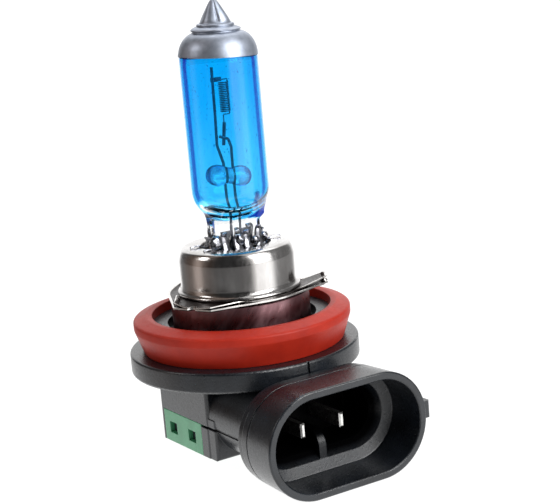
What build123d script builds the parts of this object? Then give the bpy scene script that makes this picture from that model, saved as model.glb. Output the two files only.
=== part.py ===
from build123d import *
from math import acos, atan2, cos, hypot, radians, sin
import os

# A single-ended halogen headlight bulb with a sealed, angled plug-in base.
# Millimetres. +Z runs along the bulb's axis to the glass tip, z = 0 is the reference plane at the
# underside of the cup, and the plug opening faces -Y.

# Glass capsule
CAPSULE_R = 5.3
CAPSULE_WALL = 0.85
CAPSULE_BASE_Z = 10.2
CAPSULE_SHOULDER_Z = 14.0
DOME_START_Z = 31.7
DOME_TOP_R = 3.3
DOME_TOP_Z = 35.0
RIDGE_R = 2.35
RIDGE_Z = 35.7
TIP_BASE_R = 1.85
TIP_R = 0.5
TIP_Z = 39.3
CAVITY_LOW_Z = 11.2
CAVITY_TOP_Z = 34.2
PINCH_WIDTH = 7.6
PINCH_DEPTH = 2.8
PINCH_LOW_Z = 2.4

# Painted glare cap over the dome and tip
CAP_FILM = 0.07

# Filament and the wires that hold it
FILAMENT_X = 0.38
FILAMENT_MID_Z = 26.24
FILAMENT_TURNS = 17
FILAMENT_PITCH = 0.24
FILAMENT_COIL_R = 0.64
FILAMENT_WIRE_R = 0.08
FILAMENT_TAIL_Y = 0.05
SLEEVE_R = 0.23
SLEEVE_TOP_Z = 22.85
SLEEVE_LOW_Z = 19.8
SLEEVE_LEAN = 0.4
CLAMP_LOW_Z = 28.4
CLAMP_HEIGHT = 0.6
SUPPORT_WIRE_R = 0.19
BRIDGE_Z = 15.6
BRIDGE_LENGTH = 6.7
BRIDGE_R = 1.45
BRIDGE_TILT = 10
LEAD_X = 0.7
FOIL_TOP_Z = 8.2
FOIL_LOW_Z = 4.6
FOIL_WIDTH = 1.9
FOIL_THICK = 0.08
FOIL_X = 1.45
OUTER_LEAD_R = 0.3
OUTER_LEAD_X = 2.2

# Sheet-metal cup, clip, lug ring and collar
SHEET = 0.4
CUP_R = 7.94
CUP_TOP_R = 7.35
CUP_TOP_Z = 6.25
CUP_SHOULDER_Z = 4.6
CUP_FLARE_R = 8.4
CUP_MOUTH_R = 4.8
CLIP_R = 7.1
CLIP_TOP_Z = 5.3
CLIP_SHEET = 0.35
CLAW_TOP_Z = 8.4
CLAW_WIDTH = 1.5
LUG_RING_R = 9.8
LUG_RING_BORE_R = 7.3
LUG_SHEET = 0.45
LUG_REACH = (12.1, 11.9, 12.1)
LUG_ANGLES = (-30, -154, 88)
LUG_TIP_WIDTH = (3.0, 5.8, 4.2)
LUG_NOTCH_R = 0.55
RELIEF_R = 8.45
RELIEF_ANGLES = (-22.6, 41)
POST_R = 0.28
POST_TOP_Z = 1.0
POST_AT = (10.0, -5.7)
COLLAR_R = 9.5
COLLAR_WALL = 0.4
COLLAR_LOW_Z = -8.0

# Silicone seal
SEAL_R = 14.95
SEAL_LAND = 1.0
SEAL_FOOT_R = 13.85
SEAL_TOP_Z = -2.65
SEAL_EDGE_Z = -3.35
SEAL_CROWN_R = 13.0
SEAL_BORE_R = 12.3

# Moulded base: flange and hub
FLANGE_R = 15.8
FLANGE_TOP_Z = -7.55
FLANGE_LOW_Z = -10.35
FLANGE_MARK = (0.3, 0.25)
DECK_Z = -4.0
GROOVE_R = 10.25
GROOVE_LOW_Z = -5.4
WELL_R = 7.2
WELL_TOP_Z = -12.0
WELL_HALF_X = 6.8
WELL_FRONT_Y = -3.4
WELL_REAR_Y = 7.0

# Moulded base: block under the flange, neck and plug shroud
BLOCK_HALF_X = 9.4
BLOCK_REAR_Y = 8.8
BLOCK_FRONT_Y = -4.4
BLOCK_LOW_Z = -21.4
PARTING_Z = -16.85
PARTING_GROOVE = 0.35
NECK_WIDTH = 18.4
NECK_HEIGHT = 11.0
FOOT_FRONT_Y = -6.0
PLUG_Z = -15.75
PLUG_FRONT_Y = -24.2
PLUG_STEP_Y = -17.25
PLUG_BACK_Y = -16.2
PLUG_WIDTH = 24.6
PLUG_HEIGHT = 14.35
PLUG_WALL = 1.05
PLUG_BACK_INSET = 0.45
PLUG_STEP_INSET = 0.3
PLUG_EDGE_R = 0.25
PLUG_GROOVE_Y = (-18.7, -18.5)
PLUG_GROOVE_INSET = 0.45
MOUTH_CHAMFER = 0.15
LEDGE_FRONT_Y = -18.1
LEDGE_BACK_Y = -17.65
POCKET_INSET = 1.48
THROAT_INSET = 3.7
POCKET_FLOOR_Y = -10.5
KEY_THICK = 1.15
KEY_TOP_Z = -16.6
KEY_FRONT_Y = -17.6
KEY_NOSE_R = 2.2
NUB_PROUD = 0.85
NUB_FRONT_Y = -23.9
NUB_BACK_Y = -21.5
NUB_LOW_Z = -16.5
NUB_HIGH_Z = -14.2

# Terminals and the clip-in terminal cover
BLADE_X = 3.05
BLADE_THICK = 0.7
BLADE_HEIGHT = 1.95
BLADE_TIP_Y = -18.0
TAIL_Y = -2.0
TAIL_TOP_Z = -9.0
COVER_REAR_Y = 7.9
COVER_FRONT_Y = -2.3
COVER_CHEEK = 1.0
COVER_FLOOR = 1.2
COVER_GAP = 0.05
COVER_COLLAR = 2.0
TONGUE_LAP = 0.4
WINDOW_WIDTH = 1.95
WINDOW_HEIGHT = 1.6
WINDOW_TOP_DROP = 1.6
WINDOW_CENTRES_Y = (5.5, 0.4)
CATCH_PROUD = 0.45

BOTTOM = (Align.CENTER, Align.CENTER, Align.MIN)


def turned(profile):
    """The solid that a closed outline of (radius, height) points sweeps about the bulb's axis."""
    outline = Plane.XZ * make_face(Polyline(*profile, close=True))
    return revolve(outline, Axis.Z)


def ring(outer_r, inner_r, low_z, high_z):
    """A plain ring about the bulb's axis."""
    height = high_z - low_z
    body = Cylinder(outer_r, height, align=BOTTOM)
    if inner_r:
        body -= Cylinder(inner_r, height, align=BOTTOM)
    return Pos(0, 0, low_z) * body


def block(x, y, z):
    """A box given by its (low, high) limits along each axis."""
    size = [high - low for low, high in (x, y, z)]
    middle = [(high + low) / 2 for low, high in (x, y, z)]
    return Pos(*middle) * Box(*size)


def wire(points, bend_r, wire_r):
    """Round wire along straight runs that are joined by bends of one radius."""
    path = FilletPolyline(*points, radius=bend_r) if len(points) > 2 else Line(*points)
    section = Plane(origin=path @ 0, z_dir=path % 0) * Circle(wire_r)
    return sweep(section, path=path)


def stadium(inset, front_y, back_y, width=PLUG_WIDTH, height=PLUG_HEIGHT, back_inset=None):
    """A bar with the plug's rounded-end outline, drawn in by an inset, that runs along Y."""
    back_inset = inset if back_inset is None else back_inset
    faces = []
    for y, drawn_in in ((front_y, inset), (back_y, back_inset)):
        plane = Plane(origin=(0, y, PLUG_Z), x_dir=(1, 0, 0), z_dir=(0, 1, 0))
        flat = height - 2 * drawn_in
        faces.append(plane * SlotOverall(width - 2 * drawn_in, flat))
    return loft(faces)


def mirrored(solid):
    """The same solid on the other side of the plug's middle plane."""
    return mirror(solid, about=Plane.YZ)


def dome_profile(film):
    """The capsule's outer outline from its straight wall to the tip, grown by a film."""
    return [
        (0, TIP_Z + film),
        (TIP_R + film, TIP_Z - 0.3),
        (TIP_BASE_R + film, RIDGE_Z + 0.3),
        (RIDGE_R + film, RIDGE_Z + 0.1),
        (RIDGE_R + film, RIDGE_Z - 0.25),
        (DOME_TOP_R + film, DOME_TOP_Z + 0.2),
        (DOME_TOP_R + film, DOME_TOP_Z - 0.1),
        (DOME_TOP_R + 0.85 + film, DOME_TOP_Z - 0.75),
        (CAPSULE_R - 0.45 + film, DOME_TOP_Z - 1.75),
        (CAPSULE_R - 0.12 + film, DOME_START_Z + 0.8),
        (CAPSULE_R + film, DOME_START_Z),
    ]


def make_glass():
    """The quartz capsule: a hollow tube with a domed end, a sealing tip and a flat pressed pinch."""
    shell = turned(
        dome_profile(0)
        + [
            (CAPSULE_R, CAPSULE_SHOULDER_Z),
            (CAPSULE_R - 0.35, CAPSULE_SHOULDER_Z - 1.6),
            (CAPSULE_R - 1.2, CAPSULE_SHOULDER_Z - 2.8),
            (CAPSULE_R - 2.4, CAPSULE_BASE_Z),
            (0, CAPSULE_BASE_Z),
        ]
    )
    pinch = Pos(0, 0, PINCH_LOW_Z) * Box(
        PINCH_WIDTH, PINCH_DEPTH, CAPSULE_BASE_Z + 1 - PINCH_LOW_Z, align=BOTTOM
    )
    pinch = fillet(pinch.edges().filter_by(Axis.Z), 0.6)
    bore_r = CAPSULE_R - CAPSULE_WALL
    cavity = turned(
        [
            (0, CAVITY_TOP_Z),
            (bore_r - 1.6, CAVITY_TOP_Z - 0.4),
            (bore_r - 0.4, CAVITY_TOP_Z - 1.6),
            (bore_r, CAVITY_TOP_Z - 3),
            (bore_r, CAPSULE_SHOULDER_Z),
            (bore_r - 0.5, CAPSULE_SHOULDER_Z - 1.6),
            (bore_r - 1.8, CAVITY_LOW_Z + 0.3),
            (0, CAVITY_LOW_Z),
        ]
    )
    return shell + pinch - cavity


def make_glare_cap():
    """The opaque coating over the capsule's dome and tip."""
    grown = turned(dome_profile(CAP_FILM) + [(0, DOME_START_Z)])
    core = turned(dome_profile(0) + [(0, DOME_START_Z)])
    return grown - core


def make_filament():
    """The tungsten coil, with one tail along to the clamp and one back to the bulb's axis and down."""
    height = FILAMENT_TURNS * FILAMENT_PITCH
    low_z = FILAMENT_MID_Z - height / 2
    side_x = FILAMENT_X + FILAMENT_COIL_R
    path = Pos(FILAMENT_X, 0, low_z) * Helix(FILAMENT_PITCH, height, FILAMENT_COIL_R)
    section = Plane(origin=path @ 0, z_dir=path % 0) * Circle(FILAMENT_WIRE_R)
    coil = sweep(section, path=path, is_frenet=True)
    tail_z = CLAMP_LOW_Z + 0.2
    under_z = low_z - 0.3
    tail_top = wire(
        [(side_x, 0, low_z + height), (side_x, 0, tail_z), (0, 0, tail_z)], 0.12, FILAMENT_WIRE_R
    )
    tail_low = wire(
        [
            (side_x, FILAMENT_TAIL_Y, low_z),
            (side_x, FILAMENT_TAIL_Y, under_z),
            (0, FILAMENT_TAIL_Y, under_z),
            (0, FILAMENT_TAIL_Y, SLEEVE_TOP_Z),
        ],
        0.12,
        FILAMENT_WIRE_R,
    )
    return coil + tail_top + tail_low


def make_filament_clamp():
    """The stub that joins the filament's upper tail to the long lead."""
    return block((-1.4, 0), (-0.25, 0.25), (CLAMP_LOW_Z, CLAMP_LOW_Z + CLAMP_HEIGHT))


def make_filament_sleeve():
    """The crimped tube on the filament's lower tail, which the short lead's hook holds."""
    return wire([(0, 0, SLEEVE_TOP_Z), (-SLEEVE_LEAN, 0, SLEEVE_LOW_Z)], 0, SLEEVE_R)


def make_long_lead():
    """The support wire that runs up beside the filament."""
    return wire(
        [
            (-LEAD_X, 0, FOIL_TOP_Z),
            (-LEAD_X, 0, BRIDGE_Z + 1.8),
            (-1.43, 0, 19.9),
            (-1.3, 0, 24.0),
            (-1.2, 0, 30.45),
        ],
        0.6,
        SUPPORT_WIRE_R,
    )


def make_short_lead():
    """The support wire with a hook that passes in front of the filament's sleeve."""
    return wire(
        [
            (LEAD_X, 0, FOIL_TOP_Z),
            (LEAD_X, 0, BRIDGE_Z + 1.5),
            (LEAD_X - 0.22, -0.44, BRIDGE_Z + 3.9),
            (0.1, -0.44, BRIDGE_Z + 5.05),
            (-1.15, -0.44, BRIDGE_Z + 5.5),
        ],
        0.4,
        SUPPORT_WIRE_R,
    )


def make_bridge():
    """The fused glass bead that spaces the two support wires."""
    bar = Rot(0, 90 + BRIDGE_TILT, 0) * Cylinder(BRIDGE_R, BRIDGE_LENGTH)
    bar = fillet(bar.edges().filter_by(GeomType.CIRCLE), BRIDGE_R * 0.85)
    return Pos(0, 0, BRIDGE_Z) * bar


def make_foil():
    """One molybdenum foil, sealed inside the pinch."""
    x = (-FOIL_X - FOIL_WIDTH / 2, -FOIL_X + FOIL_WIDTH / 2)
    return block(x, (-FOIL_THICK / 2, FOIL_THICK / 2), (FOIL_LOW_Z, FOIL_TOP_Z))


def make_outer_lead():
    """The wire from one foil down to its terminal's tail."""
    return wire(
        [
            (-OUTER_LEAD_X, 0, FOIL_LOW_Z),
            (-OUTER_LEAD_X, 0, -2.5),
            (-BLADE_X, TAIL_Y, -6.5),
            (-BLADE_X, TAIL_Y, TAIL_TOP_Z),
        ],
        1.5,
        OUTER_LEAD_R,
    )


def make_clip():
    """The spring plate inside the cup, whose claws grip the pinch on all four sides."""
    plate = Pos(0, 0, CLIP_TOP_Z - CLIP_SHEET) * Cylinder(CLIP_R, CLIP_SHEET, align=BOTTOM)
    slot_x = PINCH_WIDTH / 2 + 0.05
    slot_y = PINCH_DEPTH / 2 + 0.05
    claws = []
    for side in (-1, 1):
        for x in (-2.3, 2.3):
            y = sorted((side * slot_y, side * (slot_y + CLIP_SHEET)))
            claws.append(
                block((x - CLAW_WIDTH / 2, x + CLAW_WIDTH / 2), y, (CLIP_TOP_Z - CLIP_SHEET, CLAW_TOP_Z))
            )
        x = sorted((side * slot_x, side * (slot_x + CLIP_SHEET)))
        claws.append(block(x, (-0.9, 0.9), (CLIP_TOP_Z - CLIP_SHEET, CLAW_TOP_Z - 0.7)))
    slot = block((-slot_x, slot_x), (-slot_y, slot_y), (0, CLAW_TOP_Z))
    return (plate - slot) + claws


def make_cup():
    """The drawn metal cup that holds the capsule: open mouth, rounded shoulder and flared foot."""
    return turned(
        [
            (CUP_MOUTH_R, CUP_TOP_Z),
            (CUP_TOP_R - 0.25, CUP_TOP_Z),
            (CUP_TOP_R + 0.25, CUP_TOP_Z - 0.3),
            (CUP_R - 0.12, CUP_TOP_Z - 0.9),
            (CUP_R, CUP_SHOULDER_Z),
            (CUP_R - 0.04, 1.1),
            (CUP_R + 0.1, 0.6),
            (CUP_FLARE_R, 0.3),
            (CUP_FLARE_R, 0),
            (CUP_R - SHEET, 0),
            (CUP_R - SHEET, CUP_SHOULDER_Z),
            (CUP_R - 0.12 - SHEET, CUP_TOP_Z - 0.95),
            (CUP_TOP_R - 0.25, CUP_TOP_Z - SHEET),
            (CUP_MOUTH_R + SHEET, CUP_TOP_Z - SHEET),
            (CUP_MOUTH_R + SHEET, CLIP_TOP_Z),
            (CUP_MOUTH_R, CLIP_TOP_Z),
        ]
    )


def make_lug_ring():
    """The flat reference ring with its three bayonet lugs, cut back between two of them."""
    disc = ring(LUG_RING_R, LUG_RING_BORE_R, -LUG_SHEET, 0)
    hole = Cylinder(LUG_RING_BORE_R, 2)
    for reach, angle, width in zip(LUG_REACH, LUG_ANGLES, LUG_TIP_WIDTH):
        # Straight edges run from the tip's corners to where they touch the disc's rim.
        touch = atan2(width / 2, reach) + acos(LUG_RING_R / hypot(reach, width / 2))
        rim_x = LUG_RING_R * cos(touch)
        rim_y = LUG_RING_R * sin(touch)
        half = width / 2
        corners = [(rim_x, -rim_y), (reach, -half), (reach, half), (rim_x, rim_y)]
        outline = make_face(Polyline(*corners, close=True))
        lug = Pos(0, 0, -LUG_SHEET) * extrude(outline, LUG_SHEET)
        lug = fillet(lug.edges().filter_by(Axis.Z).sort_by(Axis.X)[-2:], 0.5)
        notch = Pos(reach, 0, 0) * Cylinder(LUG_NOTCH_R, 2)
        disc += Rot(0, 0, angle) * (lug - notch)
    post = Pos(*POST_AT, -LUG_SHEET) * Cylinder(POST_R, POST_TOP_Z + LUG_SHEET, align=BOTTOM)
    far = 2 * LUG_RING_R
    rays = [radians(angle) for angle in RELIEF_ANGLES]
    wedge = [(0, 0)] + [(far * cos(ray), far * sin(ray)) for ray in rays]
    sector = Pos(0, 0, -1) * extrude(make_face(Polyline(*wedge, close=True)), 2)
    return disc - hole - (sector - Cylinder(RELIEF_R, 4)) + post


def make_collar():
    """The round locating collar, with an inward rim welded under the lug ring."""
    tube = ring(COLLAR_R, COLLAR_R - COLLAR_WALL, COLLAR_LOW_Z, -LUG_SHEET)
    rim = ring(COLLAR_R - COLLAR_WALL / 2, LUG_RING_BORE_R, -LUG_SHEET - SHEET, -LUG_SHEET)
    return tube + rim


def make_seal():
    """The silicone sealing ring that is stretched over the hub."""
    return turned(
        [
            (SEAL_BORE_R, FLANGE_TOP_Z),
            (SEAL_FOOT_R, FLANGE_TOP_Z),
            (SEAL_R, SEAL_EDGE_Z - SEAL_LAND),
            (SEAL_R, SEAL_EDGE_Z),
            (SEAL_R - 0.2, SEAL_EDGE_Z + 0.12),
            (SEAL_CROWN_R, SEAL_TOP_Z),
            (SEAL_BORE_R, SEAL_TOP_Z - 0.1),
        ]
    )


def make_terminal():
    """One male blade with a tail turned up inside the base."""
    thick = (-BLADE_X - BLADE_THICK / 2, -BLADE_X + BLADE_THICK / 2)
    height = (PLUG_Z - BLADE_HEIGHT / 2, PLUG_Z + BLADE_HEIGHT / 2)
    blade = block(thick, (BLADE_TIP_Y, TAIL_Y + 1), height)
    blade = chamfer(blade.edges().group_by(Axis.Y)[0], 0.2)
    tail = block(thick, (TAIL_Y - 1, TAIL_Y + 1), (PLUG_Z, TAIL_TOP_Z))
    return blade + tail


def cover_floor(gap):
    """The cover's floor with its front tongue, grown by a gap."""
    z = (BLOCK_LOW_Z, BLOCK_LOW_Z + COVER_FLOOR + gap)
    wide = block((-BLOCK_HALF_X, BLOCK_HALF_X), (COVER_FRONT_Y - gap, COVER_REAR_Y + gap), z)
    tongue_x = WELL_HALF_X + TONGUE_LAP + gap
    return wide + block((-tongue_x, tongue_x), (WELL_FRONT_Y - TONGUE_LAP - gap, COVER_REAR_Y), z)


def well_frame(inset, high_z):
    """A box that fills the well's outline, drawn in by an inset."""
    x = WELL_HALF_X - inset
    return block((-x, x), (WELL_FRONT_Y + inset, WELL_REAR_Y - inset), (BLOCK_LOW_Z, high_z))


def make_cover():
    """The cover that snaps up over the block's open underside: a floor, two cheeks and a collar."""
    y = (COVER_FRONT_Y, COVER_REAR_Y)
    collar_z = BLOCK_LOW_Z + COVER_FLOOR + COVER_COLLAR
    body = well_frame(0.1, collar_z) - well_frame(1.1, collar_z) + cover_floor(0)
    for side in (-1, 1):
        x = sorted((side * (BLOCK_HALF_X - COVER_CHEEK), side * BLOCK_HALF_X))
        cheek = block(x, y, (BLOCK_LOW_Z, PARTING_Z - COVER_GAP))
        for middle in WINDOW_CENTRES_Y:
            cheek -= block(
                x,
                (middle - WINDOW_WIDTH / 2, middle + WINDOW_WIDTH / 2),
                (PARTING_Z - WINDOW_TOP_DROP - WINDOW_HEIGHT, PARTING_Z - WINDOW_TOP_DROP),
            )
        body += cheek
    return body


def make_housing(terminals):
    """The one-piece moulded base: hub, flange, block, neck and plug shroud."""
    body = ring(SEAL_BORE_R, WELL_R, FLANGE_LOW_Z, DECK_Z)
    flange = ring(FLANGE_R, WELL_R, FLANGE_LOW_Z, FLANGE_TOP_Z)
    body += fillet(flange.edges().filter_by(GeomType.CIRCLE).group_by(SortBy.RADIUS)[-1], 0.3)
    mark_width, mark_depth = FLANGE_MARK
    body -= block(
        (-mark_width / 2, mark_width / 2),
        (-FLANGE_R, -FLANGE_R + mark_depth),
        (FLANGE_LOW_Z, FLANGE_TOP_Z),
    )
    body -= ring(GROOVE_R, WELL_R - 1, GROOVE_LOW_Z, DECK_Z)
    body -= ring(COLLAR_R, WELL_R - 1, COLLAR_LOW_Z, DECK_Z)

    stem = block(
        (-BLOCK_HALF_X, BLOCK_HALF_X), (BLOCK_FRONT_Y, BLOCK_REAR_Y), (BLOCK_LOW_Z, FLANGE_LOW_Z)
    )
    body += fillet(stem.edges().filter_by(Axis.Z), 0.5)
    foot_x = BLOCK_HALF_X - 0.1
    foot = block((-foot_x, foot_x), (FOOT_FRONT_Y, BLOCK_FRONT_Y + 0.5), (BLOCK_LOW_Z, PLUG_Z))
    body += fillet(foot.edges().group_by(Axis.Y)[0], 0.35)
    body += stadium(0, PLUG_BACK_Y, BLOCK_FRONT_Y, NECK_WIDTH, NECK_HEIGHT)
    body += stadium(PLUG_BACK_INSET, PLUG_STEP_Y, PLUG_BACK_Y)
    shroud = stadium(0, PLUG_FRONT_Y, PLUG_STEP_Y, back_inset=PLUG_STEP_INSET)
    body += fillet(shroud.edges().group_by(Axis.Y)[0], PLUG_EDGE_R)
    # A shallow parting groove runs round the shroud, cut a little deeper than its draft.
    body -= stadium(-1, *PLUG_GROOVE_Y) - stadium(PLUG_GROOVE_INSET, *PLUG_GROOVE_Y)
    nub_x = (PLUG_WIDTH / 2 - 1, PLUG_WIDTH / 2 + NUB_PROUD)
    nub = block(nub_x, (NUB_FRONT_Y, NUB_BACK_Y), (NUB_LOW_Z, NUB_HIGH_Z))
    body += chamfer(nub.edges().filter_by(Axis.Z).group_by(Axis.X)[-1], 0.25)

    # The well inside the block, open below, and the recesses for the cover.
    body -= ring(WELL_R, 0, WELL_TOP_Z, GROOVE_LOW_Z)
    body -= well_frame(0, WELL_TOP_Z)
    body -= cover_floor(COVER_GAP)
    y = (COVER_FRONT_Y - COVER_GAP, COVER_REAR_Y + COVER_GAP)
    for side in (-1, 1):
        inner = BLOCK_HALF_X - COVER_CHEEK - COVER_GAP
        x = sorted((side * inner, side * BLOCK_HALF_X))
        body -= block(x, y, (BLOCK_LOW_Z, PARTING_Z))
        for middle in WINDOW_CENTRES_Y:
            half = WINDOW_WIDTH / 2 - 0.15
            catch_x = sorted((side * (inner - 0.2), side * (inner + CATCH_PROUD)))
            high_z = PARTING_Z - WINDOW_TOP_DROP - 0.1
            body += block(catch_x, (middle - half, middle + half), (high_z - 1.4, high_z))
        # The parting groove runs on along the block's front edge and the neck.
        groove_x = sorted((side * (NECK_WIDTH / 2 - PARTING_GROOVE), side * (NECK_WIDTH / 2 + 1)))
        body -= block(groove_x, (PLUG_BACK_Y, COVER_FRONT_Y), (PARTING_Z - PARTING_GROOVE, PARTING_Z))

    # The plug socket: a wide mouth, a sloping ledge and a deeper pocket, with a key rib.
    pocket_inset = PLUG_WALL + POCKET_INSET
    body -= stadium(PLUG_WALL, PLUG_FRONT_Y, LEDGE_FRONT_Y)
    mouth_y = PLUG_FRONT_Y + MOUTH_CHAMFER
    body -= stadium(PLUG_WALL - MOUTH_CHAMFER, PLUG_FRONT_Y, mouth_y, back_inset=PLUG_WALL)
    body -= stadium(PLUG_WALL, LEDGE_FRONT_Y, LEDGE_BACK_Y, back_inset=pocket_inset)
    body -= stadium(pocket_inset, LEDGE_BACK_Y, PLUG_BACK_Y, back_inset=THROAT_INSET)
    body -= stadium(THROAT_INSET, PLUG_BACK_Y, POCKET_FLOOR_Y)
    pocket_low_z = PLUG_Z - PLUG_HEIGHT / 2 + pocket_inset - 0.2
    key = block(
        (-KEY_THICK / 2, KEY_THICK / 2), (KEY_FRONT_Y, POCKET_FLOOR_Y), (pocket_low_z, KEY_TOP_Z)
    )
    nose = key.edges().filter_by(Axis.X).group_by(Axis.Y)[0].sort_by(Axis.Z)[-1]
    body += fillet(nose, KEY_NOSE_R)
    return body - terminals


def make_parts():
    """Every piece of the bulb, by name."""
    long_lead = make_long_lead()
    short_lead = make_short_lead()
    foil = make_foil()
    outer_lead = make_outer_lead()
    terminal = make_terminal()
    foils = [foil, mirrored(foil)]
    outer_leads = [outer_lead, mirrored(outer_lead)]
    terminals = [terminal, mirrored(terminal)]
    sealed_in = [long_lead, short_lead] + foils + outer_leads
    return {
        "glass_envelope": make_glass() - sealed_in,
        "glare_cap": make_glare_cap(),
        "filament": make_filament(),
        "filament_clamp": make_filament_clamp() - long_lead,
        "filament_sleeve": make_filament_sleeve() - short_lead,
        "long_lead": long_lead,
        "short_lead": short_lead,
        "glass_bridge": make_bridge() - [long_lead, short_lead],
        "foil_left": foils[0],
        "foil_right": foils[1],
        "outer_lead_left": outer_leads[0],
        "outer_lead_right": outer_leads[1],
        "pinch_clip": make_clip(),
        "capsule_cup": make_cup(),
        "lug_ring": make_lug_ring(),
        "collar_sleeve": make_collar(),
        "seal_ring": make_seal(),
        "terminal_left": terminals[0],
        "terminal_right": terminals[1],
        "terminal_cover": make_cover(),
        "base_housing": make_housing(terminals),
    }


os.makedirs("parts", exist_ok=True)
for name, solid in make_parts().items():
    export_step(solid, f"parts/{name}.step")
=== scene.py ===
from math import acos, atan2, cos, exp, hypot, pi, radians, sin, sqrt

import bmesh
import bpy
from mathutils import Matrix, Vector, noise


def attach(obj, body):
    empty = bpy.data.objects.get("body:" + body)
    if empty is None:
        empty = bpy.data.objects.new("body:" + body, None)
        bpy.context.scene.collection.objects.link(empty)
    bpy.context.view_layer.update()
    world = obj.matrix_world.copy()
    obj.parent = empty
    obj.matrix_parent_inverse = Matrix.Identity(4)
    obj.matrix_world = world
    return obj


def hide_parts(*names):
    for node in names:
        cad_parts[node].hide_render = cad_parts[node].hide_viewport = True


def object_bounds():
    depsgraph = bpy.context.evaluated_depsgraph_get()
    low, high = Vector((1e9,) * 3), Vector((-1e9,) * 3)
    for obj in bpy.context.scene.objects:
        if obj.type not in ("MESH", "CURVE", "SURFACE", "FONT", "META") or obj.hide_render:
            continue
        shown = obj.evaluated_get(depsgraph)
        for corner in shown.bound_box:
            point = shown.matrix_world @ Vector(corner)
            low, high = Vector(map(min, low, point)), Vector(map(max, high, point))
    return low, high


# A halogen headlight bulb. Shapes are given in millimetres in the CAD's frame, and become metres as
# they are made into meshes. The camera, the studio and the materials are in metres.
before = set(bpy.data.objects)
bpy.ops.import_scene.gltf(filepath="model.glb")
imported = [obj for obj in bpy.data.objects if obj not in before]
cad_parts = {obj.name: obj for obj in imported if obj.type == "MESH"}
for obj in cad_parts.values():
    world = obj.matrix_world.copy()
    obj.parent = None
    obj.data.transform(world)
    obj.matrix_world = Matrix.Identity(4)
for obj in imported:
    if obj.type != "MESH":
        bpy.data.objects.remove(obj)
cad_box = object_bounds()
MM = 0.001


# ---------------------------------------------------------------- dimensions shared with the CAD, in mm
CAPSULE_R = 5.3
DOME_START_Z, PINCH_TOP_Z = 31.7, 10.2
BRIDGE_Z, BRIDGE_TILT = 15.6, 10
LUG_RING_R, LUG_RING_BORE_R = 9.8, 7.3
LUGS = [(-30, 12.1, 3.0), (-154, 11.9, 5.8), (88, 12.1, 4.2)]  # angle, reach and tip width
NOTCH_R = 0.55
RELIEF_R, RELIEF = 8.45, (-22.6, 41)  # the ring is cut back between these angles
POST = (10.0, -5.7)
PLUG_Z, PLUG_RUN = -15.75, 5.125  # the plug's middle height, and half the straight run of its outline
THROAT_START_Y, THROAT_END_Y = -16.2, -10.2

# Details that only the looks have, in mm
PAINT_EDGE_Z = 31.72
TINT_EDGE_Z = 9.85
KNOB = (9.95, -6.2, -0.1)
FILM_PALE_Z, FILM_DEEP_Z = 12, 30
POOL_MIDDLE_X, POOL_LOW_Z, POOL_CURVE = 0.5, 9.8, 0.14
# Where the painted shade inside the plug socket starts and is full, and how far from the plug's middle it
# reaches in the pocket and the throat.
SHADE_START_Y, SHADE_FULL_Y = -18.2, -16.8
SHADED_POCKET_R, SHADED_THROAT_R = 4.7, 3.6


# ---------------------------------------------------------------- camera
AZIMUTH, ELEVATION, ROLL = radians(-32.2), radians(12.45), radians(-4.92)
CAMERA_DISTANCE = 0.220
AIM_SIDE, AIM_HEIGHT = 0.00597, 0.00439
LENS, SENSOR = 103.5, 36


def make_camera():
    """A long lens that looks slightly down at the bulb, rolled a little so that the bulb leans."""
    right = Vector((cos(AZIMUTH), sin(AZIMUTH), 0))
    back = Vector((sin(AZIMUTH) * cos(ELEVATION), -cos(AZIMUTH) * cos(ELEVATION), sin(ELEVATION)))
    up = back.cross(right)
    camera_x = right * cos(ROLL) + up * sin(ROLL)
    camera_y = up * cos(ROLL) - right * sin(ROLL)
    data = bpy.data.cameras.new("camera")
    data.lens = LENS
    data.sensor_width = SENSOR
    data.clip_start, data.clip_end = 0.01, 20
    camera = bpy.data.objects.new("camera", data)
    place = right * AIM_SIDE + Vector((0, 0, AIM_HEIGHT)) + back * CAMERA_DISTANCE
    facing = Matrix((camera_x, camera_y, back)).transposed().to_4x4()
    camera.matrix_world = Matrix.Translation(place) @ facing
    bpy.context.scene.collection.objects.link(camera)
    bpy.context.scene.camera = camera
    bpy.context.scene.view_settings.view_transform = "Standard"


make_camera()


# ---------------------------------------------------------------- node helpers
def link(tree, a, b):
    tree.links.new(a, b)


def node(tree, kind, **settings):
    """A node with its properties and its input values set; an input is named or numbered."""
    made = tree.nodes.new(kind)
    inputs = settings.pop("inputs", {})
    for key, value in settings.items():
        setattr(made, key, value)
    for key, value in inputs.items():
        if isinstance(value, bpy.types.NodeSocket):
            tree.links.new(value, made.inputs[key])
        else:
            made.inputs[key].default_value = value
    return made


def sum_up(tree, operation, *values):
    """The result of one arithmetic step."""
    return node(tree, "ShaderNodeMath", operation=operation, inputs=dict(enumerate(values))).outputs[0]


def span(tree, value, start, end, low=0.0, high=1.0, curve="LINEAR"):
    """A value taken from the start-to-end range to the low-to-high one, and held past its ends."""
    inputs = {0: value, 1: start, 2: end, 3: low, 4: high}
    return node(tree, "ShaderNodeMapRange", interpolation_type=curve, inputs=inputs).outputs[0]


def object_place(tree):
    """The point of the object that is shaded, in metres."""
    return node(tree, "ShaderNodeTexCoord").outputs["Object"]


def axes(tree, vector):
    """A vector's x, y and z."""
    return node(tree, "ShaderNodeSeparateXYZ", inputs={0: vector}).outputs


def stretched(tree, vector, scale):
    """A point with its axes scaled, so that the noise it feeds is drawn out."""
    return node(tree, "ShaderNodeMapping", inputs={"Vector": vector, "Scale": scale}).outputs[0]


def mottle(tree, vector, scale, detail, roughness=0.5):
    """Soft noise from 0 to 1, with scale features to the metre."""
    inputs = {"Vector": vector, "Scale": scale, "Detail": detail, "Roughness": roughness}
    return node(tree, "ShaderNodeTexNoise", inputs=inputs).outputs[0]


def length(tree, vector):
    """A vector's length."""
    return node(tree, "ShaderNodeVectorMath", operation="LENGTH", inputs={0: vector}).outputs["Value"]


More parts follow.
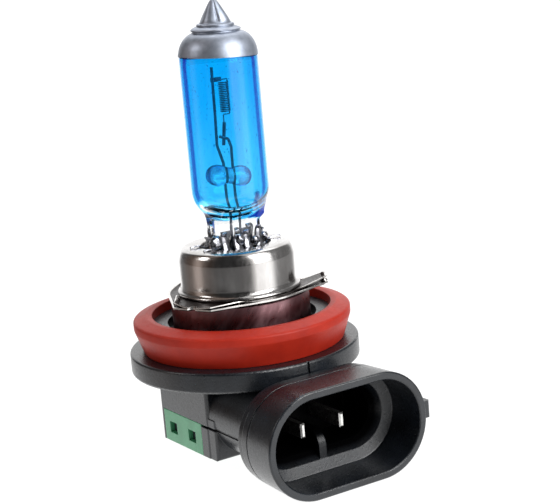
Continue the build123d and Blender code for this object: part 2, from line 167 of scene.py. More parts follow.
def relief(tree, height, strength, depth):
    """A bump in the surface that follows a height."""
    return node(tree, "ShaderNodeBump", inputs={"Height": height, "Strength": strength, "Distance": depth})


def blend(tree, factor, a, b):
    """One colour mixed into another."""
    return node(tree, "ShaderNodeMix", data_type="RGBA", inputs={0: factor, 6: a, 7: b}).outputs[2]


def two_tone(tree, value, first, second, start=0.0, end=1.0):
    """A colour that goes from the first to the second as the value goes from start to end."""
    made = node(tree, "ShaderNodeValToRGB", inputs={0: value})
    low, high = made.color_ramp.elements
    low.position, high.position = start, end
    low.color, high.color = first, second
    return made.outputs[0]


def ramp(tree, value, stops, tint=(1, 1, 1)):
    """A colour that eases through stops: each a position, and a colour or a level that is tinted below 1."""
    made = node(tree, "ShaderNodeValToRGB", inputs={0: value})
    made.color_ramp.interpolation = "EASE"
    while len(made.color_ramp.elements) < len(stops):
        made.color_ramp.elements.new(0.5)
    for element, (position, level) in zip(made.color_ramp.elements, stops):
        if not isinstance(level, tuple):
            level = [level * c for c in ((1, 1, 1) if level >= 1 else tint)]
        element.position, element.color = position, [*level, 1]
    return made.outputs[0]


def grey(level):
    return (level, level, level, 1)


def new_material(name):
    """A new material, with its node tree and its shader."""
    made = bpy.data.materials.new(name)
    made.use_nodes = True
    return made, made.node_tree, made.node_tree.nodes["Principled BSDF"]


# ---------------------------------------------------------------- studio
# What mirrors and bends light sees of the studio, by direction. Positions run once round the bulb for
# REFLECTED, from the camera's side through its right, and once for each quarter turn for BENT.
REFLECTED = [
    (0.0, 0.03), (0.07, 0.03), (0.1, 1.8), (0.185, 1.8), (0.225, 0.2), (0.38, 0.25), (0.43, 1.5), (0.57, 1.5),
    (0.62, 0.12), (0.72, (0.13, 0.09, 0.07)), (0.775, (0.62, 0.5, 0.44)), (0.825, (0.1, 0.07, 0.055)),
    (0.9, 0.035), (1.0, 0.03),
]
BENT = [(0.0, 1.0), (0.32, 1.0), (0.40, 0.85), (0.60, 0.85), (0.68, 1.0), (1.0, 1.0)]
BENT_TINT = (0.03, 0.15, 0.62)
DIFFUSE_LEVEL = 0.26
FLOOR_HALF = 2.0
FLOOR_PLAIN_R, FLOOR_STUDIO_R = 0.045, 0.085
FLOOR_BASE, FLOOR_GLOW, FLOOR_MIRRORED, FLOOR_ROUGH = 0.1, 0.98, 1.5, 0.7


def around(tree, vector):
    """The direction round the bulb as a share of a turn: 0 is the camera's side, 0.25 is its right."""
    x, y, _ = axes(tree, vector)
    angle = sum_up(tree, "ARCTAN2", y, x)
    share = sum_up(tree, "MULTIPLY_ADD", angle, 1 / (2 * pi), (pi / 2 - AZIMUTH) / (2 * pi))
    return sum_up(tree, "FRACT", share)


def surround(tree, vector):
    """The studio's colour in a direction: plain white to the camera, panels to what mirrors or bends it."""
    turn_share = around(tree, vector)
    quarter = sum_up(tree, "FRACT", sum_up(tree, "MULTIPLY", turn_share, 4.0))
    mirrored = ramp(tree, turn_share, REFLECTED)
    bent = ramp(tree, quarter, BENT, BENT_TINT)
    rays = node(tree, "ShaderNodeLightPath").outputs
    glow = blend(tree, rays["Is Glossy Ray"], grey(DIFFUSE_LEVEL), mirrored)
    glow = blend(tree, rays["Is Transmission Ray"], glow, bent)
    return blend(tree, rays["Is Camera Ray"], glow, grey(1.0))


def make_world():
    """A white surround, lit in soft panels as a studio is round a white table."""
    world = bpy.data.worlds.new("studio")
    world.use_nodes = True
    tree = world.node_tree
    tree.nodes.clear()
    direction = node(tree, "ShaderNodeTexCoord").outputs["Generated"]
    shader = node(tree, "ShaderNodeBackground", inputs={"Color": surround(tree, direction)})
    output = node(tree, "ShaderNodeOutputWorld")
    link(tree, shader.outputs[0], output.inputs[0])
    bpy.context.scene.world = world


def make_light(name, azimuth, elevation, distance, size, watts):
    """A soft oblong light that faces the bulb, placed in degrees from the camera's side."""
    data = bpy.data.lights.new(name, "AREA")
    data.shape = "RECTANGLE"
    data.size, data.size_y = size
    data.energy = watts
    a = AZIMUTH + radians(azimuth)
    e = radians(elevation)
    toward = Vector((sin(a) * cos(e), -cos(a) * cos(e), sin(e)))
    light = bpy.data.objects.new(name, data)
    light.location = toward * distance
    light.rotation_mode = "QUATERNION"
    light.rotation_quaternion = toward.to_track_quat("Z", "Y")
    bpy.context.scene.collection.objects.link(light)


def make_floor():
    """A plain white floor at the bulb's foot that glows, brighter to what mirrors it near the bulb; further
    out its glow is a painted reflection of the studio's panels.
    """
    mesh = bpy.data.meshes.new("floor")
    z = cad_box[0].z
    corners = [(x * FLOOR_HALF, y * FLOOR_HALF, z) for x, y in ((-1, -1), (1, -1), (1, 1), (-1, 1))]
    mesh.from_pydata(corners, [], [(0, 1, 2, 3)])
    made, tree, shader = new_material("floor_white")
    shader.inputs["Base Color"].default_value = grey(FLOOR_BASE)
    shader.inputs["Roughness"].default_value = FLOOR_ROUGH
    shader.inputs["Emission Strength"].default_value = FLOOR_GLOW
    place = object_place(tree)
    beyond = span(tree, length(tree, place), FLOOR_PLAIN_R, FLOOR_STUDIO_R, curve="SMOOTHSTEP")
    glossy = node(tree, "ShaderNodeLightPath").outputs["Is Glossy Ray"]
    near = blend(tree, glossy, grey(1.0), grey(FLOOR_MIRRORED))
    # Painted reflection: further out, the floor glows in the studio's panels for what mirrors it.
    link(tree, blend(tree, beyond, near, surround(tree, place)), shader.inputs["Emission Color"])
    mesh.materials.append(made)
    floor = bpy.data.objects.new("floor", mesh)
    bpy.context.scene.collection.objects.link(floor)


make_world()
make_light("key_right", 52, 30, 0.45, (0.24, 0.30), 2.2)
make_light("fill_left", -76, 34, 0.5, (0.12, 0.16), 0.4)
make_light("top_soft", 165, 62, 0.6, (0.5, 0.4), 1.0)
make_floor()


# ---------------------------------------------------------------- materials
GRAIN_AXIS = (-0.533, -0.846, 0)  # a tilted grain is turned about this level line


def shade(value):
    """A linear colour from 0 to 255 screen values."""
    parts = [c / 255 for c in value]
    return [c / 12.92 if c <= 0.04045 else ((c + 0.055) / 1.055) ** 2.4 for c in parts] + [1]


def make_material(
    name, dark, light, rough=(0.3, 0.45), metal=0.0, patch=300, grain=2500, bump=0.1, bump_size=0.00002,
    stretch=(1, 1, 1), tilt=0.0, edge=0.0, **sockets,
):
    """A material whose colour drifts between two tones, with a fine grain in its gloss and its relief."""
    made, tree, shader = new_material(name)
    place = object_place(tree)
    if tilt:
        turned = {"Vector": place, "Axis": GRAIN_AXIS, "Angle": tilt}
        place = node(tree, "ShaderNodeVectorRotate", inputs=turned).outputs[0]
    mapped = stretched(tree, place, stretch)
    drift = mottle(tree, mapped, patch, 6.0, 0.6)
    fine = mottle(tree, mapped, grain, 4.0, 0.65)
    raised = relief(tree, fine, bump, bump_size)
    if edge:
        softened = node(tree, "ShaderNodeBevel", samples=6, inputs={"Radius": edge})
        link(tree, softened.outputs[0], raised.inputs["Normal"])
    link(tree, two_tone(tree, drift, shade(dark), shade(light), 0.32, 0.68), shader.inputs["Base Color"])
    link(tree, span(tree, fine, 0.3, 0.7, *rough), shader.inputs["Roughness"])
    link(tree, raised.outputs[0], shader.inputs["Normal"])
    shader.inputs["Metallic"].default_value = metal
    for key, value in sockets.items():
        shader.inputs[key.replace("_", " ")].default_value = value
    return made


def make_glass_material(name, tint, ior=1.458):
    """Clear glass with faint drawn streaks in its surface."""
    made, tree, shader = new_material(name)
    streaks = mottle(tree, stretched(tree, object_place(tree), (1, 1, 0.12)), 420.0, 3.0)
    link(tree, relief(tree, streaks, 0.12, 0.00003).outputs[0], shader.inputs["Normal"])
    shader.inputs["Base Color"].default_value = (*tint, 1)
    shader.inputs["Roughness"].default_value = 0.0
    shader.inputs["Transmission Weight"].default_value = 1.0
    shader.inputs["IOR"].default_value = ior
    return made


FILM_PALE, FILM_DEEP = (0.035, 0.53, 1, 1), (0, 0.375, 0.96, 1)
FILM_SPECK, FILM_POOL = (0, 0.12, 0.5, 1), (0, 0.03, 0.40, 1)


def make_blue_glass():
    """Glass under a blue film: paler towards the base, streaked, specked, and pooled at one end."""
    made = make_glass_material("blue_coated_quartz", (0, 0.42, 1))
    tree = made.node_tree
    shader = tree.nodes["Principled BSDF"]
    place = object_place(tree)
    x, y, z = axes(tree, place)
    height = span(tree, z, FILM_PALE_Z * MM, FILM_DEEP_Z * MM, 0.0, 0.85, "SMOOTHSTEP")
    level = sum_up(tree, "MULTIPLY_ADD", mottle(tree, place, 260.0, 3.0), 0.3, height)
    streaks = mottle(tree, stretched(tree, place, (1, 1, 0.05)), 620.0, 2.0)
    level = sum_up(tree, "ADD", level, span(tree, streaks, 0.4, 0.72, 0.12, -0.5))
    film = two_tone(tree, level, FILM_PALE, FILM_DEEP)
    specks = span(tree, mottle(tree, place, 2900.0, 1.0), 0.69, 0.74)
    colour = blend(tree, specks, film, FILM_SPECK)
    # The pool is on the front, under a curve that climbs from the pinch's middle to one side.
    aside = sum_up(tree, "SUBTRACT", x, POOL_MIDDLE_X * MM)
    squared = sum_up(tree, "MULTIPLY", aside, aside)
    brim = sum_up(tree, "MULTIPLY_ADD", squared, POOL_CURVE / MM, POOL_LOW_Z * MM)
    low = span(tree, sum_up(tree, "SUBTRACT", brim, z), 0.0, 0.4 * MM, curve="SMOOTHSTEP")
    side = span(tree, aside, 0.0, 0.8 * MM, curve="SMOOTHSTEP")
    front = span(tree, y, 1.2 * MM, 0.4 * MM)
    pool = sum_up(tree, "MULTIPLY", sum_up(tree, "MULTIPLY", side, low), front)
    link(tree, blend(tree, pool, colour, FILM_POOL), shader.inputs["Base Color"])
    link(tree, span(tree, pool, 0.0, 1.0, 0.97, 0.1), shader.inputs["Transmission Weight"])
    shader.inputs["Specular IOR Level"].default_value = 0.15
    return made


def make_bead_glass():
    """Bluish glass in slow swirls, with painted shade that darkens it towards its outline."""
    made = make_glass_material("bead_glass", (0.5, 0.66, 0.84), 1.5)
    tree = made.node_tree
    # Painted shade: the tint deepens where the surface turns towards the outline.
    edge = node(tree, "ShaderNodeLayerWeight", inputs={"Blend": 0.35}).outputs["Facing"]
    depth = sum_up(tree, "ADD", edge, mottle(tree, object_place(tree), 700.0, 1.0))
    tone = two_tone(tree, depth, (0.95, 0.98, 1, 1), (0.0, 0.08, 0.24, 1), 0.5, 0.95)
    link(tree, tone, tree.nodes["Principled BSDF"].inputs["Base Color"])
    return made


BLUE_GLASS = make_blue_glass()
CLEAR_GLASS = make_glass_material("clear_quartz", (0.97, 0.985, 0.99))
BEAD_GLASS = make_bead_glass()
SILVER_PAINT = make_material(
    "silver_paint", (140, 147, 160), (172, 179, 192), (0.42, 0.52), 0.92, 700, 9000, 0.25
)
TUNGSTEN = make_material("tungsten", (84, 84, 88), (118, 118, 122), (0.3, 0.4), 1.0, 2500, 9000)
MOLYBDENUM = make_material("molybdenum", (70, 72, 78), (110, 112, 118), (0.25, 0.4), 1.0, 1500, 8000)
NICKEL = make_material("nickel_wire", (170, 165, 158), (200, 196, 190), (0.2, 0.35), 1.0, 1500, 8000)
SPRING_STEEL = make_material("spring_steel", (92, 94, 100), (190, 190, 196), (0.1, 0.3), 1.0, 1400, 5000, 0.3)
CUP_STEEL = make_material(
    "brushed_steel", (158, 155, 153), (196, 194, 193), (0.14, 0.25), 1.0, 250, 1900, 0.2, 0.00001,
    stretch=(1, 1, 0.25),
)
RING_STEEL = make_material(
    "ring_steel", (176, 172, 168), (222, 220, 218), (0.12, 0.26), 1.0, 400, 2500, 0.3, 0.00002
)
# A darker copy of the ring steel: painted shade for the sheet's trough and for the post.
RING_PAINTED_SHADE = make_material("ring_painted_shade", (20, 17, 16), (58, 48, 46), (0.3, 0.48), 0.8, 500, 2500, 0.4)
COLLAR_STEEL = make_material(
    "collar_steel", (96, 66, 70), (150, 118, 122), (0.24, 0.44), 1.0, 420, 1500, 1.0, 0.00004,
    stretch=(1, 1, 0.22), tilt=0.6,
)
RED_SILICONE = make_material(
    "red_silicone", (156, 30, 13), (180, 40, 18), (0.44, 0.56), 0.0, 220, 2600, 0.3, 0.00002,
    Specular_IOR_Level=0.3,
)
BRASS = make_material("tinned_brass", (190, 188, 186), (228, 227, 224), (0.24, 0.38), 1.0, 900, 4000, 0.04)
GREEN_PLASTIC = make_material(
    "green_plastic", (62, 140, 98), (82, 160, 116), (0.3, 0.44), 0.0, 400, 3500, 0.3, edge=0.0002
)
BLACK_PLASTIC = make_material(
    "black_plastic", (14, 17, 21), (27, 31, 37), (0.24, 0.38), 0.0, 300, 3000, 0.55, 0.00003, edge=0.00018
)


def paint_socket_shade(made):
    """Painted shade: darkens and dulls the plastic deep inside the plug socket, where little light gets in.
    """
    tree = made.node_tree
    shader = tree.nodes["Principled BSDF"]
    x, y, z = axes(tree, object_place(tree))
    # The socket's outline is a stadium: a distance from the straight run between its two round ends.
    past = sum_up(tree, "SUBTRACT", sum_up(tree, "ABSOLUTE", x), PLUG_RUN * MM)
    past = sum_up(tree, "MAXIMUM", past, 0.0)
    down = sum_up(tree, "SUBTRACT", z, PLUG_Z * MM)
    away = length(tree, node(tree, "ShaderNodeCombineXYZ", inputs={0: past, 1: down}).outputs[0])
    step = [(THROAT_START_Y - 0.1) * MM, (THROAT_START_Y + 0.1) * MM]
    wall = span(tree, y, *step, SHADED_POCKET_R * MM, SHADED_THROAT_R * MM)
    inside = sum_up(tree, "LESS_THAN", away, wall)
    inward = span(tree, y, SHADE_START_Y * MM, SHADE_FULL_Y * MM)
    before_floor = sum_up(tree, "LESS_THAN", y, THROAT_END_Y * MM)
    deep = sum_up(tree, "MULTIPLY", sum_up(tree, "MULTIPLY", inside, inward), before_floor)
    # Painted shade: a near-black colour and little gloss deep in the socket.
    plain = shader.inputs["Base Color"].links[0].from_socket
    link(tree, blend(tree, deep, plain, (0.0006, 0.0006, 0.0008, 1)), shader.inputs["Base Color"])
    link(tree, span(tree, deep, 0.0, 1.0, 0.5, 0.03), shader.inputs["Specular IOR Level"])


paint_socket_shade(BLACK_PLASTIC)


# ---------------------------------------------------------------- mesh helpers
def rounded(points, radius=0.15, steps=4):
    """A closed outline of (radius, height) points with its corners rounded."""
    out = []
    count = len(points)
    for i in range(count):
        before, here, after = (Vector(points[(i + k) % count]) for k in (-1, 0, 1))
        to_before, to_after = before - here, after - here
        reach = min(radius, 0.45 * to_before.length, 0.45 * to_after.length)
        if reach < 1e-4 or to_before.angle(to_after, pi) > radians(176) or here.x < 1e-6:
            out.append(tuple(here))
            continue
        start = here + to_before.normalized() * reach
        end = here + to_after.normalized() * reach
        for k in range(steps + 1):
            t = k / steps
            out.append(tuple(start * (1 - t) ** 2 + here * 2 * t * (1 - t) + end * t * t))
    return out


def smoothed(points, steps=6):
    """Points along a Catmull-Rom curve through the given ones."""
    out = []
    for i in range(len(points) - 1):
        a, b, c, d = (Vector(points[min(max(i + k, 0), len(points) - 1)]) for k in (-1, 0, 1, 2))
        for k in range(steps):
            t = k / steps
            bend = (2 * a - 5 * b + 4 * c - d) * t * t + (3 * b - a - 3 * c + d) * t**3
            out.append(tuple(0.5 * (2 * b + (c - a) * t + bend)))
    return out + [tuple(points[-1])]


def add_rings(bm, rings, closed_profile=True):
    """Faces between successive rings of points in mm. A ring of one point is a pole."""
    made = [[bm.verts.new([c * MM for c in p]) for p in ring] for ring in rings]
    pairs = list(zip(made, made[1:] + made[:1])) if closed_profile else list(zip(made, made[1:]))
    faces = []
    for low, high in pairs:
        if len(low) == 1 and len(high) == 1:
            continue
        count = max(len(low), len(high))
        for i in range(count):
            j = (i + 1) % count
            corners = [low[i % len(low)], low[j % len(low)], high[j % len(high)], high[i % len(high)]]
            unique = list(dict.fromkeys(corners))
            faces.append(bm.faces.new(unique))
    return faces


def turn(profile, segments, shape=None):
    """The rings that an outline of (radius, height) points makes about the axis."""
    rings = []
    for r, z in profile:
        if r < 1e-6:
            rings.append([(0, 0, z)])
            continue
        ring = []
        for i in range(segments):
            a = 2 * pi * i / segments
            rr, zz = shape(r, z, a) if shape else (r, z)
            ring.append((rr * cos(a), rr * sin(a), zz))
        rings.append(ring)
    return rings


def make_piece(name, bm, material, replaces, sharp=35, recalc=True):
    """A finished object from a mesh under construction."""
    if recalc:
        bmesh.ops.recalc_face_normals(bm, faces=bm.faces)
    mesh = bpy.data.meshes.new(name)
    bm.to_mesh(mesh)
    bm.free()
    for one in material if isinstance(material, (list, tuple)) else [material]:
        mesh.materials.append(one)
    mesh.shade_smooth()
    mesh.set_sharp_from_angle(angle=radians(sharp))
    piece = bpy.data.objects.new(name, mesh)
    bpy.context.scene.collection.objects.link(piece)
    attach(piece, "root")
    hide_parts(*replaces)
    return piece


def smooth_step(low, high, value):
    """A smooth rise from 0 at low to 1 at high."""
    t = max(0.0, min(1.0, (value - low) / (high - low)))
    return t * t * (3 - 2 * t)


def wave(x, y, z, scale, seed=0.0):
    """Smooth noise between -1 and 1."""
    return noise.noise(Vector((x * scale + seed, y * scale - seed, z * scale + 2 * seed)))


# ---------------------------------------------------------------- glass capsule
def dome_profile(film):
    """The capsule's outline above its straight wall, from the tip down, grown by a film."""
    low = smoothed([(3.1, 34.98), (3.9, 34.62), (4.55, 34.0), (4.98, 33.25), (5.21, 32.45), (5.3, 31.72)], 4)
    ridges = smoothed(
        [
            (2.1, 36.08), (2.34, 36.03), (2.46, 35.9), (2.44, 35.76), (2.46, 35.68),
            (2.9, 35.52), (3.24, 35.33), (3.27, 35.19), (3.08, 35.07),
        ],
        4,
    )
    tip = smoothed(
        [
            (0.28, 39.15), (0.52, 38.9), (0.82, 38.45), (1.14, 37.9),
            (1.48, 37.3), (1.82, 36.65), (2.02, 36.2),
        ],
        4,
    )
    outline = tip + ridges + low
    return [(0, 39.22 + film)] + [(r + film, z + 0.4 * film) for r, z in outline]


def dome_shape(r, z, a):
    """The hand-worked look of the tip and of the two ridges under it."""
    tip = smooth_step(36.15, 36.7, z)
    ridge = max(0.0, 1 - abs(z - 35.6) / 0.9)
    side = (a + radians(110) + 0.05 * (z - 37.5) + pi) % (2 * pi) - pi
    fold = -0.055 * cos(4 * side) - 0.1 * exp(-((side / 0.1) ** 2))
    rr = r * (1 + tip * fold + 0.015 * ridge * cos(4 * a + 1))
    zz = z + ridge * (0.04 * cos(3 * a) - 0.13 * cos(a + radians(32))) + 0.03 * tip * cos(2 * a)
    return rr, zz


# The glass between its round wall and its pinch: height, half width, half depth and squareness.
PINCH_STATIONS = [
    (14.0, 5.3, 5.3, 2.0), (13.4, 5.28, 5.2, 2.0), (12.8, 5.18, 4.92, 2.02), (12.2, 5.0, 4.44, 2.05),
    (11.6, 4.68, 3.72, 2.15), (11.1, 4.3, 3.02, 2.3), (10.7, 4.04, 2.44, 2.6), (10.3, 3.9, 1.96, 3.0),
    (9.9, 3.84, 1.66, 3.6), (9.4, 3.8, 1.48, 4.2), (8.8, 3.8, 1.4, 5.0), (7.6, 3.78, 1.38, 5.5),
    (6.2, 3.8, 1.4, 5.5), (4.6, 3.78, 1.38, 5.5), (3.0, 3.8, 1.4, 5.5), (2.4, 3.74, 1.34, 5.5),
]


def pinch_ring(z, a, b, power, segments):
    """One cross-section of the glass between its round wall and its flat pinch."""
    ring = []
    pressed = max(0.0, min(1.0, (10.2 - z) / 1.2))
    for i in range(segments):
        t = 2 * pi * i / segments
        c, s = cos(t), sin(t)
        k = (abs(c) ** power + abs(s) ** power) ** (-1 / power)
        x, y = a * c * k, b * s * k
        ripple = 1 + pressed * (0.035 * wave(x, y, z * 0.3, 1.6) + 0.02 * wave(x, y, z, 0.9, 5))
        skirt = 0.22 * (x > 0) * smooth_step(9.0, 9.8, z) * (1 - smooth_step(10.4, 12.4, z))
        ring.append((x * (1 + skirt + (ripple - 1) * 0.4), y * ripple * (1 - 0.05 * pressed), z))
    return ring


def make_envelope():
    """The quartz capsule: coated outside, clear inside, with a clear pressed pinch under it."""
    segments = 144
    bore_r = 4.45
    bm = bmesh.new()
    dome = turn(dome_profile(0), segments, dome_shape)
    wall = turn([(CAPSULE_R, z) for z in (30, 27, 24, 21, 18, 16, 15)], segments)
    stations = smoothed(PINCH_STATIONS, 3)
    low = [pinch_ring(z, a, b, power, segments) for z, a, b, power in stations]
    add_rings(bm, dome + wall + low, closed_profile=False)
    bm.verts.ensure_lookup_table()
    bm.faces.new(bm.verts[len(bm.verts) - segments:])
    bmesh.ops.recalc_face_normals(bm, faces=bm.faces)
    for face in bm.faces:
        middle = face.calc_center_median() / MM
        edge_z = TINT_EDGE_Z + (0.1 * middle.x**2 if middle.x < 0 else -0.14 * middle.x)
        face.material_index = 0 if middle.z > edge_z else 1
    cavity = (
        [(0, 34.2)]
        + smoothed([(0.6, 34.17), (2.3, 33.9), (3.45, 33.2), (4.2, 32.2), (bore_r, 31.0)], 3)
        + [(bore_r, z) for z in (29, 26, 23, 20, 17, 15)]
        + smoothed(
            [
                (bore_r, 14.2), (4.4, 13.5), (4.2, 12.8), (3.82, 12.2),
                (3.2, 11.75), (2.25, 11.4), (1.0, 11.22),
            ],
            3,
        )
        + [(0, 11.2)]
    )
    hollow = add_rings(bm, turn(cavity, segments), closed_profile=False)
    bmesh.ops.recalc_face_normals(bm, faces=hollow)
    for face in hollow:
        face.material_index = 1
    # The cavity's faces look inwards, into the gas.
    centre = Vector((0, 0, (DOME_START_Z + PINCH_TOP_Z) / 2 * MM))
    test = hollow[len(hollow) // 2]
    if test.normal.dot(test.calc_center_median() - centre) > 0:
        bmesh.ops.reverse_faces(bm, faces=hollow)
    return make_piece(
        "glass_capsule", bm, [BLUE_GLASS, CLEAR_GLASS], ["glass_envelope"], 60, recalc=False
    )


def make_cap():
    """The opaque silver coating over the dome, the ridges and the tip."""
    bm = bmesh.new()
    outer = dome_profile(0.06)
    inner = dome_profile(0.012)

    def edge(r, z, a):
        rr, zz = dome_shape(r, z, a)
        edge_rise = 0.12 + 0.25 * cos(a - radians(165)) + 0.02 * cos(4 * a)
        return rr, zz + edge_rise * max(0.0, 1 - (z - PAINT_EDGE_Z) / 0.8)

    add_rings(bm, turn(outer, 160, edge) + turn(inner, 160, edge)[::-1], closed_profile=False)
    return make_piece("silver_cap", bm, SILVER_PAINT, ["glare_cap"], 50)


def make_bead():
    """The fused glass bead: two drops that run together round the support wires."""
    bm = bmesh.new()
    outline = smoothed(
        [
            (0, -3.32), (0.8, -3.16), (1.28, -2.6), (1.44, -1.85), (1.34, -1.1), (1.16, -0.4),
            (1.12, 0.2), (1.24, 0.9), (1.42, 1.75), (1.28, 2.6), (0.78, 3.18), (0, 3.32),
        ],
        5,
    )
    angles = [2 * pi * i / 48 for i in range(48)]
    rings = []
    for r, x in outline:
        if r < 1e-6:
            rings.append([(x, 0, BRIDGE_Z)])
        else:
            rings.append([(x, r * cos(t), BRIDGE_Z + r * sin(t)) for t in angles])
    add_rings(bm, rings, closed_profile=False)
    centre = Vector((0, 0, BRIDGE_Z * MM))
    bmesh.ops.rotate(bm, verts=bm.verts, cent=centre, matrix=Matrix.Rotation(radians(BRIDGE_TILT), 3, "Y"))
    return make_piece("wire_bead", bm, BEAD_GLASS, ["glass_bridge"], 60)



# ---------------------------------------------------------------- metal cup, claws, lug ring, collar
CUP_PROFILE = [
    (4.8, 6.25), (6.9, 6.25), (7.42, 6.02), (7.72, 5.5), (7.94, 4.6), (7.93, 2.4), (7.9, 1.15), (8.02, 0.62),
    (8.4, 0.34), (8.42, 0.0), (7.54, 0.0), (7.5, 1.2), (7.54, 4.5), (7.34, 5.3), (6.9, 5.85), (5.2, 5.85),
    (5.2, 5.32), (4.8, 5.32),
]


def make_cup():
    """The drawn cup, with the slight waviness of pressed sheet."""
    bm = bmesh.new()

    def pressed(r, z, a):
        return r + 0.03 * cos(2 * a + 0.7) * (z > 0.8) * (r > 5.5), z + 0.04 * cos(a + 2.6) * (z > 4)

    add_rings(bm, turn(rounded(CUP_PROFILE, 0.22, 4), 160, pressed))
    return make_piece("cup_shell", bm, CUP_STEEL, ["capsule_cup"], 50)


def make_collar():
    """The locating collar with its inward rim."""
    bm = bmesh.new()
    profile = [
        (LUG_RING_BORE_R, -0.45), (9.3, -0.45), (9.5, -0.62), (9.5, -7.85),
        (9.42, -8.0), (9.1, -8.0), (9.1, -0.85), (LUG_RING_BORE_R, -0.85),
    ]

    def dented(r, z, a):
        return r + (0.02 * wave(cos(a) * 3, sin(a) * 3, z * 0.4, 1.0, 3)) * (r > 9), z

    dense = []
    for (r0, z0), (r1, z1) in zip(profile, profile[1:] + profile[:1]):
        parts = max(1, int(hypot(r1 - r0, z1 - z0) / 0.9))
        dense += [(r0 + (r1 - r0) * k / parts, z0 + (z1 - z0) * k / parts) for k in range(parts)]
    add_rings(bm, turn(dense, 160, dented))
    return make_piece("locating_collar", bm, COLLAR_STEEL, ["collar_sleeve"], 35)


def make_seal():
    """The silicone ring, with softly rounded edges."""
    bm = bmesh.new()
    profile = [
        (12.3, -7.55), (13.85, -7.55), (14.95, -4.4), (14.95, -3.42),
        (14.7, -3.2), (13.1, -2.65), (12.3, -2.75),
    ]
    add_rings(bm, turn(rounded(profile, 0.14, 4), 192))
    return make_piece("silicone_seal", bm, RED_SILICONE, ["seal_ring"], 40)


def lug_outline(a, base_r, shrink=0.0, notched=True):
    """The radius of the lug ring's edge: a disc, cut back on one side, with straight-sided lugs."""
    edge = base_r
    for angle, reach, width in LUGS:
        reach -= shrink
        width -= 2 * shrink
        off = (a - radians(angle) + pi) % (2 * pi) - pi
        side = atan2(width / 2, reach)
        touch = side + acos(base_r / hypot(reach, width / 2))
        turned = abs(off)
        if turned < side:
            r = reach / cos(turned)
            v = reach * sin(turned)
            if notched and v < NOTCH_R:
                r = reach - sqrt(NOTCH_R**2 - v * v)
        elif turned < touch:
            r = base_r / cos(touch - turned)
        else:
            continue
        edge = max(edge, r) if not (notched and turned < side) else r
    degrees = (a * 180 / pi + 180) % 360 - 180
    return min(edge, RELIEF_R) if RELIEF[0] < degrees < RELIEF[1] else edge


def lug_distance(a):
    """Which lug an angle belongs to, and how far it is from that lug's middle in degrees."""
    best = min(LUGS, key=lambda lug: abs((a - radians(lug[0]) + pi) % (2 * pi) - pi))
    off = (a - radians(best[0]) + pi) % (2 * pi) - pi
    return best[0], off * 180 / pi


def sheet_ring(bm, inner_r, outline, height, thick, parts=12, segments=720):
    """A thin closed sheet between a bore and an outline, lifted by a height function, with a bright rim and
    painted shade inside it.
    """
    rings = []
    for level in (0, thick):
        loop = []
        for k in range(parts + 1):
            share = 1 - (1 - k / parts) ** 1.6
            ring = []
            for i in range(segments):
                a = 2 * pi * i / segments
                edge = outline(a)
                r = inner_r + (edge - inner_r) * share
                ring.append((r * cos(a), r * sin(a), height(r, a, edge) + level))
            loop.append(ring)
        rings += loop if level == 0 else loop[::-1]
    # The rim takes the plain steel; the rest of the sheet takes the painted shade.
    for face in add_rings(bm, rings):
        middle = face.calc_center_median() / MM
        a = atan2(middle.y, middle.x)
        at_rim = hypot(middle.x, middle.y) > outline(a) - 0.3 or abs(a * 180 / pi - RELIEF[0]) < 1.2
        face.material_index = 0 if at_rim else 1


def make_lug_ring():
    """The reference ring: a dished lower sheet, and a pressed upper sheet that shows at the lugs."""
    bm = bmesh.new()

    def dished(r, a, edge):
        return -0.45 + 0.25 * smooth_step(edge - 0.55, edge - 0.2, r)

    sheet_ring(bm, LUG_RING_BORE_R, lambda a: lug_outline(a, LUG_RING_R), dished, 0.2)

    def pressed(r, a, edge):
        lug, off = lug_distance(a)
        rise = smooth_step(8.3, 9.6, r)
        rim = smooth_step(edge - 0.7, edge - 0.15, r)
        if lug == -154:
            curl = 0.25 + 0.5 * smooth_step(4, 15, -off) + 0.15 * smooth_step(6, 14, off)
            return -0.22 + rise * curl * rim
        if lug == -30:
            return -0.22 + 0.24 * max(0.0, r - 8.4)
        return -0.22 + rise * (0.42 + 0.1 * rim)

    sheet_ring(bm, LUG_RING_BORE_R, lambda a: lug_outline(a, 8.3, 0.12), pressed, 0.14)
    post = [(0.0, -0.3), (0.26, -0.3), (0.28, 0.7), (0.2, 0.98), (0.0, 1.0)]
    rings = [[(POST[0] + x, POST[1] + y, z) for x, y, z in ring] for ring in turn(post, 24)]
    # The post takes the painted shade too.
    for face in add_rings(bm, rings, closed_profile=False):
        face.material_index = 1
    knob = bmesh.ops.create_icosphere(bm, subdivisions=4, radius=0.36 * MM)
    for vert in knob["verts"]:
        p = vert.co / MM
        lump = 1 + 0.2 * wave(*p, 2, 1)
        vert.co = (Vector(KNOB) + Vector((1.3 * p.x, p.y, 0.9 * p.z * lump))) * MM
    return make_piece("lug_plate", bm, [RING_STEEL, RING_PAINTED_SHADE], ["lug_ring"], 40)


def add_strip(bm, path, width, thick, across):
    """A closed strip of sheet along a path. Across is the direction of its width, which may vary along it."""
    across = Vector(across).normalized()
    points = [Vector(p) for p in path]
    rings = []
    for i, p in enumerate(points):
        along = (points[min(i + 1, len(points) - 1)] - points[max(i - 1, 0)]).normalized()
        face = across.cross(along).normalized()
        w = (width(i / (len(points) - 1)) if callable(width) else width) / 2
        t = thick / 2
        b = min(0.3 * t, 0.3 * w)
        corners = [
            (w - b, t), (w, t - b), (w, -t + b), (w - b, -t),
            (-w + b, -t), (-w, -t + b), (-w, t - b), (-w + b, t),
        ]
        rings.append([tuple(p + across * x + face * y) for x, y in corners])
    add_rings(bm, rings, closed_profile=False)
    bm.verts.ensure_lookup_table()
    sides = len(rings[0])
    total = len(bm.verts)
    bm.faces.new(bm.verts[total - sides:])
    first = total - sides * len(rings)
    bm.faces.new(bm.verts[first:first + sides])


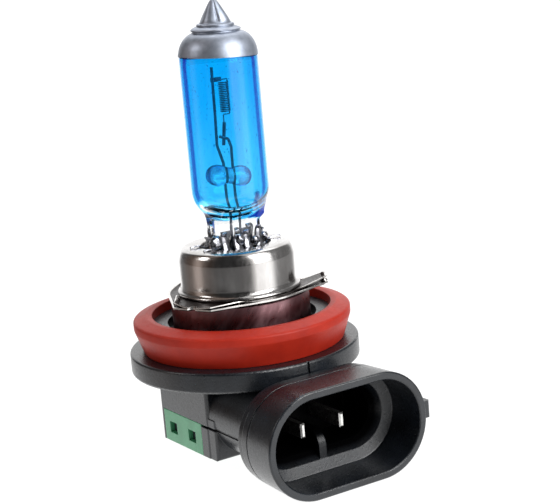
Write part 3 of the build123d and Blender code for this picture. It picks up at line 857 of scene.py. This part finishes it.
# Rough lumps among the claws: their place, size and flatness.
NUGGETS = [
    (-3.9, -1.5, 7.1, 1.0, 0.6), (-0.2, -1.9, 6.9, 0.7, 0.5),
    (2.1, -2.0, 6.5, 0.6, 0.6), (3.9, -1.2, 6.7, 0.6, 0.7),
]
# The claws on each flat face of the pinch: their place across it, sideways lean and top.
CLAWS = [(-2.5, -0.25, 8.3), (-0.75, 0.1, 7.7), (0.85, -0.05, 8.1), (2.55, 0.25, 8.4)]


def make_clip():
    """The spring plate in the cup's mouth, with the claws that curl against the pinch."""
    bm = bmesh.new()
    plate = [(1.0, 4.95), (7.1, 4.95), (7.1, 5.3), (1.0, 5.3)]

    def slot(r, z, a):
        if r > 2:
            return r, z
        k = (abs(cos(a) / 3.85) ** 5 + abs(sin(a) / 1.45) ** 5) ** (-0.2)
        return k, z

    add_rings(bm, turn(plate, 96, slot))
    for side in (-1, 1):
        for x, lean, top in CLAWS:
            y0 = side * 1.62
            path = smoothed(
                [
                    (x, side * 3.0, 5.2), (x, side * 2.35, 5.45), (x + lean * 0.3, y0 + side * 0.28, 6.1),
                    (x + lean * 0.6, y0 + side * 0.04, 6.9), (x + lean, y0 + side * 0.02, top - 0.5),
                    (x + lean, y0 + side * 0.3, top),
                ],
                4,
            )
            add_strip(bm, path, lambda t: 1.25 - 0.45 * t * t, 0.24, (1, 0, 0))
        end_claw = [(5.0, 0, 5.3), (4.5, 0, 5.5), (4.15, 0, 6.2), (4.02, 0, 7.2), (4.3, 0, 7.7)]
        path = smoothed([(side * x, y, z) for x, y, z in end_claw], 4)
        add_strip(bm, path, 1.5, 0.24, (0, 1, 0))
        for y in (-1.5, 1.3):
            finger = [(3.6, y, 5.4), (4.3, y * 1.1, 6.2), (5.2, y * 1.2, 6.48), (6.1, y * 1.25, 6.42)]
            path = smoothed([(side * x, y, z) for x, y, z in finger], 4)
            add_strip(bm, path, lambda t: 0.62 - 0.3 * t, 0.22, (0, 1, 0))
    for x, y, z, size, flat in NUGGETS:
        ball = bmesh.ops.create_icosphere(bm, subdivisions=4, radius=size * MM)
        for vert in ball["verts"]:
            p = vert.co / MM
            bump = 1 + 0.16 * wave(p.x, p.y, p.z, 1.9, x)
            vert.co = Vector((x + p.x * bump, y + p.y * bump * flat, z + p.z * bump)) * MM
    return make_piece("clip_claws", bm, SPRING_STEEL, ["pinch_clip"], 50)


make_envelope()
make_lug_ring()
make_clip()
make_cap()
make_bead()
make_cup()
make_collar()
make_seal()


# ---------------------------------------------------------------- CAD pieces that keep their shape
KEPT = {
    "filament": TUNGSTEN, "filament_clamp": MOLYBDENUM, "filament_sleeve": MOLYBDENUM,
    "long_lead": MOLYBDENUM, "short_lead": MOLYBDENUM, "foil_left": MOLYBDENUM, "foil_right": MOLYBDENUM,
    "outer_lead_left": NICKEL, "outer_lead_right": NICKEL, "terminal_left": BRASS, "terminal_right": BRASS,
    "terminal_cover": GREEN_PLASTIC, "base_housing": BLACK_PLASTIC,
}
for name, material in KEPT.items():
    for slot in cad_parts[name].material_slots:
        slot.material = material
